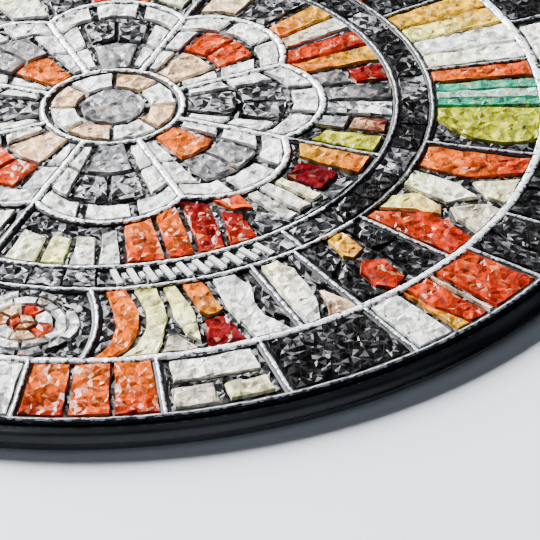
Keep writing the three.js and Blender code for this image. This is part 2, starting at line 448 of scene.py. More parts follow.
def ray_path(inner, outer, angle, bow=0.0):
    """A ray from one ring to the next, which swells sideways by bow at its middle."""
    points = []
    for i in range(RAY_STEPS + 1):
        part = i / RAY_STEPS
        x, y, _ = spot(inner + (outer - inner) * part, angle, 0.0)
        sideways = 4 * bow * part * (1 - part)
        turn = math.radians(angle + 90)
        points.append((x + sideways * math.cos(turn), y + sideways * math.sin(turn), 0.0))
    return (points, False)


wide_lines = [ring_path(MIDDLE_OUTER)]
edge_lines = [ring_path(PANEL_RADIUS - EDGE_BEAD / 2 - EDGE_GAP)]
band_radii = (BAND_INNER, BAND_OUTER)
bright_arcs = [arc_path(radius, BRIGHT_FROM, BRIGHT_TO) for radius in band_radii]
dark_arcs = [arc_path(radius, BRIGHT_TO, BRIGHT_FROM + 360) for radius in band_radii]
thin_lines = [ring_path(BAND_OUTER), ring_path(BAND_INNER), ring_path(CENTRE_RADIUS)]
ray_lines = [ray_path(MIDDLE_OUTER, GLASS_OUTER, first) for first, _ in starts(OUTER_START, OUTER_SWEEPS)]
for i, (first, _) in enumerate(starts(MIDDLE_START, MIDDLE_SWEEPS)):
    bow = {0: -MOTIF_BOW, 1: MOTIF_BOW}.get(i % 8, 0.0)
    ray_lines.append(ray_path(BAND_OUTER, MIDDLE_OUTER, first, bow))
ray_lines += [ray_path(BAND_INNER, BAND_OUTER, first) for first, _ in starts(BAND_START, BAND_SWEEPS)]
VALLEYS = PETAL_TIPS - LOBE_RISE
ray_lines += [ray_path(VALLEYS, BAND_INNER, first) for first, _ in starts(ROSETTE_START, BORDER_SWEEPS)]
petal_lines = [ray_path(CENTRE_RADIUS, VALLEYS, ROSETTE_START + PETAL_SWEEP * i) for i in range(PETALS)]
lobe_angles = [360 * i / RING_STEPS for i in range(RING_STEPS)]
lobe_lines = [([spot(lobe_reach(angle), angle, 0.0) for angle in lobe_angles], True)]

swept_strip, given = node_group("swept_strip", [
    ("Width", "NodeSocketFloat", 0.002),
    ("Height", "NodeSocketFloat", 0.001),
    ("Lift", "NodeSocketFloat", 0.003),
    ("Wobble", "NodeSocketFloat", 0.0),
    ("Material", "NodeSocketMaterial", None),
])
start = Wire(swept_strip)


def vector_of(start, x, y, z):
    """A vector of three numbers or sockets."""
    return start.node("ShaderNodeCombineXYZ", {"X": x, "Y": y, "Z": z})


def part_of(start, vector, axis):
    """A vector's X, Y or Z."""
    return start.node("ShaderNodeSeparateXYZ", {"Vector": vector}, output=axis)


round_wire = start.node("GeometryNodeCurvePrimitiveCircle", {"Resolution": WIRE_SIDES, "Radius": 1.0})
own_place = start.node("GeometryNodeInputPosition", {})
marked = start.node(
    "GeometryNodeStoreNamedAttribute",
    {"Geometry": round_wire, "Name": "across", "Value": part_of(start, own_place, "X")},
    data_type="FLOAT",
    domain="POINT",
)
size = vector_of(start, given["Width"] * 0.5, given["Height"], 1.0)
section = start.node("GeometryNodeTransform", {"Geometry": marked, "Scale": size})
upright = start.node("GeometryNodeSetCurveNormal", {"Curve": given["Geometry"]}, mode="Z_UP")
strip_sockets = {"Curve": upright, "Profile Curve": section, "Fill Caps": True}
strip = start.node("GeometryNodeCurveToMesh", strip_sockets)
lifted = vector_of(start, 0.0, 0.0, given["Lift"])
placed = start.node("GeometryNodeTransform", {"Geometry": strip, "Translation": lifted})
strip_place = start.node("GeometryNodeInputPosition", {})
ripple = noise(start, strip_place, 850.0, 1.0, output="Color")
sway = vector_math(start, "SUBTRACT", ripple, Vector_001=(0.5, 0.5, 0.5))
sway = vector_math(start, "SCALE", sway, Scale=given["Wobble"])
wavy = start.node("GeometryNodeSetPosition", {"Geometry": placed, "Offset": sway})
end_group(swept_strip, wavy, given["Material"])


def bead_material(name, bright, dark, dark_from):
    """Tin painted lighter along its middle, a painted highlight on the bead's crown, and darker towards its
    ragged edges. dark_from is where the dark starts.
    """
    material, start = new_material(name)
    place = start.node("ShaderNodeTexCoord", {}, output="Object")
    across = start.node("ShaderNodeAttribute", {}, output="Fac", attribute_name="across")
    hatch = noise(start, place, 1000.0, 3.0)
    lumps = noise(start, place, 620.0, 3.0)
    # Darker towards the bead's edges, with a ragged border.
    edge_dark = (start.math("ABSOLUTE", across) * 0.75 + (hatch - 0.5) * 4.8).clamped(dark_from, dark_from + 0.2)
    finish_material(start, {
        "Base Color": edge_dark.blend(bright, dark),
        "Metallic": 0.12,
        "Roughness": hatch * 0.25 + 0.2,
        "Normal": bump(start, lumps, 1.0, 0.4 * MM),
    })
    return material


# One tin painted at three brightnesses in place of how much light each bead catches: bright with a painted
# highlight, grey, and dark.
tin = bead_material("tin_bead_painted_bright", (0.93, 0.95, 0.98, 1), (0.07, 0.075, 0.09, 1), 0.62)
dark_painted_tin = bead_material("tin_bead_painted_dark", (0.15, 0.16, 0.18, 1), (0.03, 0.032, 0.04, 1), 0.50)
grey_painted_tin = bead_material("tin_bead_painted_grey", (0.52, 0.55, 0.60, 1), (0.05, 0.055, 0.065, 1), 0.50)

patina, start = new_material("black_patina")
place = start.node("ShaderNodeTexCoord", {}, output="Object")
mottle = noise(start, place, 500.0, 4.0)
finish_material(start, {
    "Base Color": mottle.clamped(0.55, 0.8).blend((0.008, 0.008, 0.010, 1), (0.06, 0.062, 0.07, 1)),
    "Roughness": mottle * 0.3 + 0.3,
    "Specular IOR Level": 0.12,
    "Normal": bump(start, mottle, 0.35, 0.2 * MM),
})


def swept(name, paths, width, height, lift, wobble, material):
    """A strip along each path, at a height of lift, which swells by height above and below it."""
    values = {"Width": width, "Height": height, "Lift": lift, "Wobble": wobble, "Material": material}
    return grow(line_object(name, paths), swept_strip, values, name, smooth=True)


all_lines = wide_lines + thin_lines + ray_lines + lobe_lines + petal_lines + [ring_path(GLASS_OUTER)]
came_pieces = []
for name, width, height, lift in [
    ("came_flanges", FLANGE_WIDTH, FLANGE_HEIGHT, GLASS_TOP + FLANGE_LIFT),
    ("came_webs", WEB_WIDTH, WEB_HEIGHT, (GLASS_TOP + LEDGE_THICKNESS) / 2),
    ("came_feet", FLANGE_WIDTH, FOOT_HEIGHT, LEDGE_THICKNESS + FOOT_HEIGHT),
]:
    came_pieces.append(swept(name, all_lines, width, height, lift, 0.0, patina))
for name, paths, width, height, material in [
    ("came_ring_bead", wide_lines, RING_BEAD, 0.3 * MM, tin),
    ("came_edge_bead", edge_lines, EDGE_BEAD, 0.35 * MM, grey_painted_tin),
    ("came_band_beads", [ring_path(CENTRE_RADIUS), *bright_arcs], BAND_BEAD, 0.28 * MM, tin),
    ("came_band_dull_beads", dark_arcs, DARK_ARC_BEAD, 0.26 * MM, dark_painted_tin),
    ("came_ray_beads", ray_lines, RAY_BEAD, 0.26 * MM, grey_painted_tin),
    ("came_petal_beads", lobe_lines + petal_lines, PETAL_BEAD, 0.3 * MM, tin),
]:
    lift = CROWN_TOP - height - BEAD_SUNK
    came_pieces.append(swept(name, paths, width, height, lift, BEAD_WOBBLE, material))
for piece in came_pieces:
    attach(piece, "root")
    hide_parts("came_lattice")

# The hanging eye: a flat tab cut from black metal sheet, with its edges rounded off and a hole for a
# hook. Its wide foot follows the rim, and a seam of solder holds it there.
EYE_HOLE = 3.5 * MM
EYE_WALL = 3.5 * MM
EYE_STANDOFF = 5.5 * MM
EYE_HALF_FOOT = 12.0 * MM
EYE_FOOT_RISE = 1.0 * MM
EYE_ROUNDING = 0.35 * MM
EYE_BEVEL_STEPS = 3
EYE_SHRINK = EYE_ROUNDING + 0.002 * MM
EYE_FOOT_GAP = 0.1 * MM
EYE_STEPS = 32
FOOT_STEPS = 20
SEAM_STEPS = 40
SEAM_WIDTH = 1.3 * MM
SEAM_HEIGHT = 1.25 * MM
SEAM_OUT = 0.3 * MM
SEAM_WOBBLE = 0.2 * MM
WELD = 0.01 * MM

eye_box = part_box("hanging_eye")
eye_middle = RIM_OUTER + EYE_STANDOFF
foot_across = EYE_HALF_FOOT - EYE_SHRINK
foot_along = math.sqrt(RIM_OUTER**2 - EYE_HALF_FOOT**2) + EYE_FOOT_RISE - EYE_SHRINK
half_turn = math.degrees(math.asin(foot_across / RIM_OUTER))
foot_from = 90 + half_turn
foot_radius = RIM_OUTER + EYE_FOOT_GAP + EYE_SHRINK
outer_edge = [
    spot(foot_radius, foot_from - 2 * half_turn * i / FOOT_STEPS, 0.0) for i in range(FOOT_STEPS + 1)
]
outer_edge.append((foot_across, foot_along, 0.0))
for i in range(EYE_STEPS + 1):
    x, y, _ = spot(EYE_HOLE + EYE_WALL - EYE_SHRINK, 180 * i / EYE_STEPS, 0.0)
    outer_edge.append((x, eye_middle + y, 0.0))
outer_edge.append((-foot_across, foot_along, 0.0))
hole_edge = []
for i in range(EYE_STEPS):
    x, y, _ = spot(EYE_HOLE + EYE_SHRINK, 360 * i / EYE_STEPS, 0.0)
    hole_edge.append((x, eye_middle + y, 0.0))
cutout = line_object("eye_cutout", [(outer_edge, True), (hole_edge, True)])
cutout.data.dimensions = "2D"
cutout.data.fill_mode = "BOTH"
cutout.data.extrude = (eye_box[1][2] - eye_box[0][2]) / 2 - EYE_ROUNDING
cutout.data.bevel_depth = EYE_ROUNDING
cutout.data.bevel_resolution = EYE_BEVEL_STEPS
shaped = cutout.evaluated_get(bpy.context.evaluated_depsgraph_get())
eye_mesh = bpy.data.meshes.new_from_object(shaped)
bpy.data.objects.remove(cutout)
eye_mesh.transform(Matrix.Translation((0.0, 0.0, (eye_box[0][2] + eye_box[1][2]) / 2)))
welded = bmesh.new()
welded.from_mesh(eye_mesh)
bmesh.ops.remove_doubles(welded, verts=welded.verts, dist=WELD)
bmesh.ops.recalc_face_normals(welded, faces=welded.faces)
welded.to_mesh(eye_mesh)
welded.free()
eye_mesh.materials.clear()
eye_mesh.materials.append(black_coat)
eye_tab = linked("eye_tab", eye_mesh)
seam_arc = [
    spot(RIM_OUTER + SEAM_OUT, foot_from - 2 * half_turn * i / SEAM_STEPS, 0.0) for i in range(SEAM_STEPS + 1)
]
eye_seam = swept(
    "eye_seam", [(seam_arc, False)], SEAM_WIDTH, SEAM_HEIGHT, RIM_HEIGHT / 2, SEAM_WOBBLE, patina
)
for piece in (eye_tab, eye_seam):
    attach(piece, "root")
    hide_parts("hanging_eye")

# The glass: each pane is a sheet of black glass in its cell, inlaid with small shards of coloured glass, and
# the whole face is crackled into facets a millimetre or two across. The facets' colours carry painted light.
# Their random lightness is partly painted facet shade, and pale blends and hairlines are painted glints and
# highlights.
GLASS_INSET = 0.75 * MM
WINDOW_INSET = 0.85 * MM
SHARD_GAP = 0.14 * MM
SHARD_BEVEL = 0.14 * MM
SHARD_JITTER = 0.14 * MM
SHARD_RISE = 0.6 * MM
CRACKLE_SIZE = 1.1 * MM
CRACKLE_DEPTH = 0.34 * MM
CRACKLE_SPREAD = 0.46
CRACKLE_MARGIN = 0.3 * MM
SHEET_RISES = (0.08, 0.45)
SHARD_FOOT = 0.04 * MM
EDGE_STEP = 1.6 * MM
SHARD_STEP = 2.0 * MM
BOW_STEPS = 8
SIDE_STEPS = 3
KEEP_INSIDE = 1
MERGE = 1e-7

WHITE = (0.93, 0.94, 0.85)
CREAM = (0.97, 0.90, 0.50)
BEIGE = (0.70, 0.62, 0.46)
PALE_YELLOW = (0.97, 0.90, 0.24)
YELLOW = (0.70, 0.36, 0.002)
ORANGE = (0.58, 0.042, 0.0005)
AMBER = (0.72, 0.12, 0.0005)
RED = (0.36, 0.010, 0.001)
DARK_RED = (0.13, 0.003, 0.007)
PEACH = (0.80, 0.50, 0.28)
GREEN = (0.03, 0.34, 0.20)
PALE_GREEN = (0.42, 0.66, 0.54)
LIME = (0.40, 0.42, 0.002)
LEMON = (0.86, 0.80, 0.03)
SMOKE = (0.28, 0.28, 0.29)
CRACKLE = (0.02, 0.02, 0.021)
BLACK = (0.006, 0.006, 0.0064)
BROWN = (0.34, 0.12, 0.03)
# The pale white of the painted glints and highlight hairlines in the glass's colour.
PAINTED_GLINT_WHITE = (0.86, 0.86, 0.85, 1)
EDGE_SHADE = (0.05, 0.05, 0.055, 1.0)
# Painted glints: a share of the coloured facets is blended towards a pale warm colour, in place of the lamp's
# reflection.
PAINTED_GLINT = (0.95, 0.54, 0.22)
PAINTED_GLINT_CHANCE = 0.08
PAINTED_GLINT_BLEND = (0.08, 0.4)
# Facet lightness factors: on coloured glass a random spread, partly the glass's own tone and partly painted
# facet shade. On black and crackled glass they are rare large factors, painted glints of the lamp.
PALE_FROM = 0.8
PALE_TONE_AND_PAINTED_SHADE = (0.8, 1.4)
DEEP_TONE_AND_PAINTED_SHADE = (0.6, 1.2)
CRACKLE_PAINTED_GLINTS = (0.4, 0.6, 1.0, 3.0, 7.0, 14.0, 26.0)
BLACK_PAINTED_GLINTS = (0.4, 0.5, 0.6, 0.7, 0.8, 1.0, 1.2, 3.0, 8.0, 20.0)
SHEET_PAINTED_GLINTS = (0.6, 1.0, 1.5, 5.0, 14.0, 38.0)

glass, start = new_material("crackled_glass")
place = start.node("ShaderNodeTexCoord", {}, output="Object")
tint = start.node("ShaderNodeAttribute", {}, output="Color", attribute_name="tint")
facing = start.node("ShaderNodeNewGeometry", {}, output="Normal")


def crazed(scale, turn, squeeze=0.5, hair=0.065):
    """A pattern of long cells: its random colour per cell, and how near each point is to a crack."""
    drawn = start.node(
        "ShaderNodeMapping",
        {"Vector": place, "Rotation": (0.0, 0.0, math.radians(turn)), "Scale": (1.0, squeeze, 1.0)},
    )
    sockets = {"Vector": drawn, "Scale": scale}
    cell = start.node("ShaderNodeTexVoronoi", sockets, output="Color")
    crack = start.node("ShaderNodeTexVoronoi", sockets, output="Distance", feature="DISTANCE_TO_EDGE")
    return cell, 1.0 - crack.clamped(hair / 5, hair)


def leaning(facing, cell, amount):
    """The facing with each cell tipped its own way by up to amount."""
    lean = vector_math(start, "SUBTRACT", cell, Vector_001=(0.5, 0.5, 0.5))
    lean = vector_math(start, "SCALE", lean, Scale=amount)
    return vector_math(start, "ADD", facing, Vector_001=lean)


coarse, coarse_crack = crazed(620.0, 28)
fine, _ = crazed(1100.0, -47)
_, long_crack = crazed(560.0, 62, 0.16, 0.045)
_, other_crack = crazed(520.0, -18, 0.16, 0.045)
facets = vector_math(start, "NORMALIZE", leaning(leaning(facing, coarse, 0.34), fine, 0.22))
patches = noise(start, place, 300.0, 2.0)
chance = part_of(start, coarse, "X")
other_chance = part_of(start, fine, "Y")
# Each cell's random lightness scales the tint: partly random tone and partly painted facet shade.
strength = chance.clamped(0.05, 0.5) * 0.5 + other_chance * 0.4 + 0.3
shade = vector_math(start, "SCALE", tint, Scale=strength)
brightness = start.node("ShaderNodeRGBToBW", {"Color": tint})
reach = brightness.clamped(0.0, 0.5) * 0.85 + 0.1
pale_glint_colour = start.node(
    "ShaderNodeMix",
    {"Factor_Float": 0.35, "A_Color": tint, "B_Color": PAINTED_GLINT_WHITE},
    output="Result_Color",
    data_type="RGBA",
)
# A few cells are blended pale: painted glints of the lamp, stronger on brighter glass.
painted_glint_amount = chance.clamped(0.82, 0.88) * 0.07 + other_chance.clamped(0.84, 0.90) * 0.04
with_painted_glints = (painted_glint_amount * reach).blend(shade, pale_glint_colour)
# Pale hairlines along the cracks: partly the cracks' own colour and partly painted ridge highlights.
crack_and_highlight_hairs = coarse_crack * patches.clamped(0.52, 0.58) * 0.2
crack_and_highlight_hairs = crack_and_highlight_hairs + long_crack * patches.clamped(0.50, 0.56) * 0.4
crack_and_highlight_hairs = (crack_and_highlight_hairs + other_crack * (1.0 - patches.clamped(0.44, 0.5)) * 0.4) * reach
dark_hairs = coarse_crack * (1.0 - patches.clamped(0.46, 0.52)) * 0.55
finish_material(start, {
    "Base Color": crack_and_highlight_hairs.blend(dark_hairs.blend(with_painted_glints, (0.03, 0.03, 0.03, 1)), pale_glint_colour),
    "Roughness": patches * 0.06 + 0.08,
    "IOR": 1.5,
    "Specular IOR Level": 0.055,
    "Normal": facets,
})


def inset(outline, distance):
    """A counter-clockwise outline moved inwards, side by side, with mitred corners."""
    outline = np.asarray(outline)
    along = np.roll(outline, -1, axis=0) - outline
    along /= np.linalg.norm(along, axis=1)[:, None]
    inward = np.stack([-along[:, 1], along[:, 0]], axis=1)
    before = np.roll(inward, 1, axis=0)
    corner = inward + before
    corner /= (1 + (inward * before).sum(axis=1))[:, None]
    return outline + corner * distance


def inside(points, outline):
    """Which of the points lie inside an outline."""
    x, y = points[:, 0][:, None], points[:, 1][:, None]
    ax, ay = outline[:, 0], outline[:, 1]
    bx, by = np.roll(ax, -1), np.roll(ay, -1)
    with np.errstate(divide="ignore", invalid="ignore"):
        crossing = ((ay > y) != (by > y)) & (x < (bx - ax) * (y - ay) / (by - ay) + ax)
    return crossing.sum(axis=1) % 2 == 1


def clearance(points, outline):
    """Each point's distance to an outline."""
    a = outline
    side = np.roll(a, -1, axis=0) - a
    reach = points[:, None, :] - a[None]
    part = np.clip((reach * side).sum(-1) / (side**2).sum(-1), 0, 1)
    return np.linalg.norm(reach - part[..., None] * side, axis=-1).min(axis=1)


class Cell:
    """A pane's place: between two radii, which may depend on the angle, and between two rays."""

    def __init__(self, inner, outer, from_angle, to_angle, bow_from=0.0, bow_to=0.0):
        self.inner = inner
        self.outer = outer
        self.from_angle = from_angle
        self.to_angle = to_angle
        self.bows = (bow_from, bow_to)

    def spot(self, u, v, margin):
        """u runs from 0 to 1 counter-clockwise and v from 0 to 1 outwards, inside a margin."""
        angle = self.from_angle + u * (self.to_angle - self.from_angle)
        for _ in range(2):
            inner = self.inner(angle, margin)
            outer = self.outer(angle, margin)
            radius = inner + v * (outer - inner)
            edge = math.degrees(math.asin(min(margin / radius, 1.0)))
            angle = self.from_angle + edge + u * (self.to_angle - self.from_angle - 2 * edge)
        inner = self.inner(angle, 0)
        part = min(max((radius - inner) / (self.outer(angle, 0) - inner), 0), 1)
        bow = (self.bows[0] * (1 - u) + self.bows[1] * u) * 4 * part * (1 - part)
        turn = math.radians(angle)
        return (
            radius * math.cos(turn) - bow * math.sin(turn),
            radius * math.sin(turn) + bow * math.cos(turn),
        )

    def outline(self, margin):
        """The cell's edge inside a margin, from corner to corner."""
        length = math.dist(self.spot(0.0, 1.0, margin), self.spot(1.0, 1.0, margin))
        steps = max(2, math.ceil(length / EDGE_STEP))
        rises = BOW_STEPS if any(self.bows) else SIDE_STEPS
        edge = [(i / steps, 1.0) for i in range(steps)]
        edge += [(1.0, 1.0 - i / rises) for i in range(rises)]
        edge += [(1.0 - i / steps, 0.0) for i in range(steps)]
        edge += [(0.0, i / rises) for i in range(rises)]
        return np.array([self.spot(u, v, margin) for u, v in edge])

    def polygon(self, corners, margin):
        """An outline through corners in u and v, with its long sides divided, counter-clockwise."""
        points = []
        for (u0, v0), (u1, v1) in zip(corners, corners[1:] + corners[:1], strict=True):
            length = math.dist(self.spot(u0, v0, margin), self.spot(u1, v1, margin))
            steps = max(1, round(length / SHARD_STEP))
            for i in range(steps):
                u = u0 + (u1 - u0) * i / steps
                v = v0 + (v1 - v0) * i / steps
                points.append(self.spot(u, v, margin))
        points = np.array(points)
        x, y = points[:, 0], points[:, 1]
        if (x * np.roll(y, -1) - y * np.roll(x, -1)).sum() < 0:
            points = points[::-1]
        return points


def block(u0, u1, v0=0.0, v1=1.0):
    """A four-sided shard between two lines each way."""
    return [(u0, v1), (u0, v0), (u1, v0), (u1, v1)]


def glass_pane(node, cell, shards, seed):
    """One pane as a closed mesh. Each shard is its outline in the cell's u and v, its colour, and the
    colour that it turns to outwards, where that is another one."""
    dice = random.Random(seed)
    points = [tuple(p) for p in cell.outline(GLASS_INSET)]
    heights = [GLASS_TOP] * len(points)
    faces = [list(range(len(points)))]
    outline = np.array(points)
    feet = []
    tops = []
    for corners, *_ in shards:
        whole = cell.polygon(corners, WINDOW_INSET - SHARD_GAP)
        whole += np.array([(dice.uniform(-1, 1), dice.uniform(-1, 1)) for _ in whole]) * SHARD_JITTER
        feet.append(inset(whole, SHARD_GAP))
        tops.append(inset(whole, SHARD_GAP + SHARD_BEVEL))
    shard_top = GLASS_TOP + SHARD_RISE
    for outlines, height, rough in ((feet, GLASS_TOP + SHARD_FOOT, 0.0), (tops, shard_top, 0.5)):
        for loop in outlines:
            faces.append(list(range(len(points), len(points) + len(loop))))
            points += [tuple(p) for p in loop]
            heights += [height + dice.uniform(-rough, rough) * CRACKLE_DEPTH for _ in loop]
    low = outline.min(axis=0)
    high = outline.max(axis=0)
    columns = np.arange(low[0], high[0], CRACKLE_SIZE)
    rows = np.arange(low[1], high[1], CRACKLE_SIZE)
    spread = CRACKLE_SIZE * CRACKLE_SPREAD
    loose = np.array([
        (x + dice.uniform(-spread, spread), y + dice.uniform(-spread, spread)) for x in columns for y in rows
    ])
    loose = loose[inside(loose, outline)]
    keep = clearance(loose, outline) > CRACKLE_MARGIN
    for loop in feet + tops:
        keep &= clearance(loose, loop) > CRACKLE_MARGIN
    loose = loose[keep]
    on_top = np.zeros(len(loose), bool)
    for loop in tops:
        on_top |= inside(loose, loop)
    for (x, y), raised in zip(loose, on_top, strict=True):
        points.append((x, y))
        if raised:
            heights.append(shard_top + dice.uniform(-0.5, 0.5) * CRACKLE_DEPTH)
        else:
            heights.append(GLASS_TOP + dice.uniform(*SHEET_RISES) * MM)
    spots, _, triangles, from_spots, _, from_faces = delaunay_2d_cdt(
        [Vector(p) for p in points], [], faces, KEEP_INSIDE, MERGE, True
    )
    count = len(spots)
    tall = [max((heights[i] for i in source), default=GLASS_TOP) for source in from_spots]
    vertices = [(p[0], p[1], z) for p, z in zip(spots, tall, strict=True)]
    vertices += [(p[0], p[1], GLASS_BOTTOM) for p in spots]
    pairs = zip(triangles, from_faces, strict=True)
    kept = [(tuple(triangle), source) for triangle, source in pairs if source]
    flat = [triangle for triangle, _ in kept]
    sides = dict.fromkeys(
        side for triangle in flat for side in zip(triangle, triangle[1:] + triangle[:1], strict=True)
    )
    walls = [(a + count, b + count, b, a) for a, b in sides if (b, a) not in sides]
    polygons = flat + [tuple(i + count for i in reversed(t)) for t in flat] + walls
    shades = []
    for triangle, source in kept:
        owners = {(i - 1) % len(shards) for i in source if i > 0}
        middle = sum((spots[i] for i in triangle), Vector((0, 0))) / 3
        if owners:
            _, near, *others = shards[min(owners)]
            far = others[0] if others else near
            angle = math.degrees(math.atan2(middle.y, middle.x))
            inner = cell.inner(angle, 0)
            part = (middle.length - inner) / (cell.outer(angle, 0) - inner)
            part = min(max(part + dice.uniform(-0.22, 0.22), 0), 1)
            shade = [a + (b - a) * part for a, b in zip(near, far, strict=True)]
            # Each facet's lightness: on coloured glass partly its own tone and partly painted facet shade, on
            # black and crackled glass painted glints. A few coloured facets then get a pale painted glint.
            light = dice.uniform(*(PALE_TONE_AND_PAINTED_SHADE if near[1] > PALE_FROM else DEEP_TONE_AND_PAINTED_SHADE))
            if near == CRACKLE:
                light = dice.choice(CRACKLE_PAINTED_GLINTS)
            elif near == BLACK:
                light = dice.choice(BLACK_PAINTED_GLINTS)
            shade = [min(c * light, 1.0) for c in shade]
            if dice.random() < PAINTED_GLINT_CHANCE and near not in (BLACK, CRACKLE, WHITE, CREAM):
                pale = dice.uniform(*PAINTED_GLINT_BLEND)
                shade = [a * (1 - pale) + pale * b for a, b in zip(shade, PAINTED_GLINT, strict=True)]
        else:
            # The bare black sheet's facets, some lightened as painted glints.
            light = dice.choice(SHEET_PAINTED_GLINTS)
            shade = [c * light for c in BLACK]
        shades.append((*shade, 1.0))
    mesh = bpy.data.meshes.new(node + "_glass")
    mesh.from_pydata(vertices, [], polygons)
    tints = mesh.color_attributes.new("tint", "FLOAT_COLOR", "CORNER")
    colours = []
    for polygon in mesh.polygons:
        i = polygon.index
        shade = shades[i % len(flat)] if i < 2 * len(flat) else EDGE_SHADE
        colours += shade * polygon.loop_total
    tints.data.foreach_set("color", colours)
    mesh.materials.append(glass)
    piece = linked(node + "_glass", mesh)
    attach(piece, "root")
    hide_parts(node)


def between(radius, sign):
    """A cell's constant edge, which a margin moves into the cell."""
    return lambda angle, margin: radius + sign * margin


# The outer ring: a row of rectangular tiles. Three orange ones, a cream one in three parts, black
# glass, then white, orange and red ones divided by a beige sliver, black again, and white.
OUTER_LAYOUTS = [
    [
        (block(0.0, 0.325), AMBER, RED),
        (block(0.345, 0.655), AMBER, ORANGE),
        (block(0.675, 1.0), AMBER, RED),
    ],
    [
        (block(0.07, 0.92, 0.05, 0.46), WHITE, BEIGE),
        (block(0.04, 0.44, 0.57, 0.97), SMOKE, BEIGE),
        (block(0.52, 0.93, 0.60, 0.93), BEIGE, CREAM),
    ],
    [(block(0.0, 1.0), BLACK)],
    [
        (block(0.0, 0.26), WHITE),
        ([(0.29, 1.0), (0.29, 0.0), (0.32, 0.0), (0.33, 0.5), (0.40, 1.0)], AMBER, YELLOW),
        ([(0.41, 1.0), (0.34, 0.5), (0.33, 0.0), (0.545, 0.0), (0.545, 1.0)], ORANGE, RED),
        (block(0.56, 0.60), PEACH, BEIGE),
        (block(0.62, 1.0), ORANGE, RED),
    ],
    [
        ([(0.0, 1.0), (0.0, 0.0), (0.5, 0.0), (0.35, 0.5), (0.4, 1.0)], BLACK),
        ([(0.44, 1.0), (0.39, 0.5), (0.54, 0.0), (1.0, 0.0), (1.0, 1.0)], BLACK),
    ],
    [
        (block(0.0, 0.28), BLACK),
        (block(0.30, 0.62), BLACK),
        (block(0.64, 1.0), WHITE),
    ],
]
for i, (from_angle, to_angle) in enumerate(starts(OUTER_START, OUTER_SWEEPS)):
    node = f"outer_pane_{i + 1:02d}"
    cell = Cell(between(MIDDLE_OUTER, 1), between(GLASS_OUTER, -1), from_angle, to_angle)
    glass_pane(node, cell, OUTER_LAYOUTS[i % len(OUTER_LAYOUTS)], seed=i)

# The middle ring: freer shapes. A round motif between two bowed rays, curved and leaf-shaped
# shards in orange, cream and white, black glass with a diagonal of small shards, and broad bands.
MOTIF_WIDE = 21.5 * MM
MOTIF_HIGH = 17.6 * MM


def round_shards(rings):
    """Rings of shards about the middle of a cell: (count, inner radius, outer radius, colours)."""
    shards = []
    for count, inner, outer, colours in rings:
        for k in range(count):
            turns = [2 * math.pi * (k + part) / count for part in (0.0, 0.5, 1.0)]
            loop = [(inner * math.cos(t), inner * math.sin(t)) for t in turns[::-1]]
            loop += [(outer * math.cos(t), outer * math.sin(t)) for t in turns]
            loop = [(0.5 + x / MOTIF_WIDE, 0.5 + y / MOTIF_HIGH) for x, y in loop]
            shards.append((loop, colours[k % len(colours)]))
    return shards


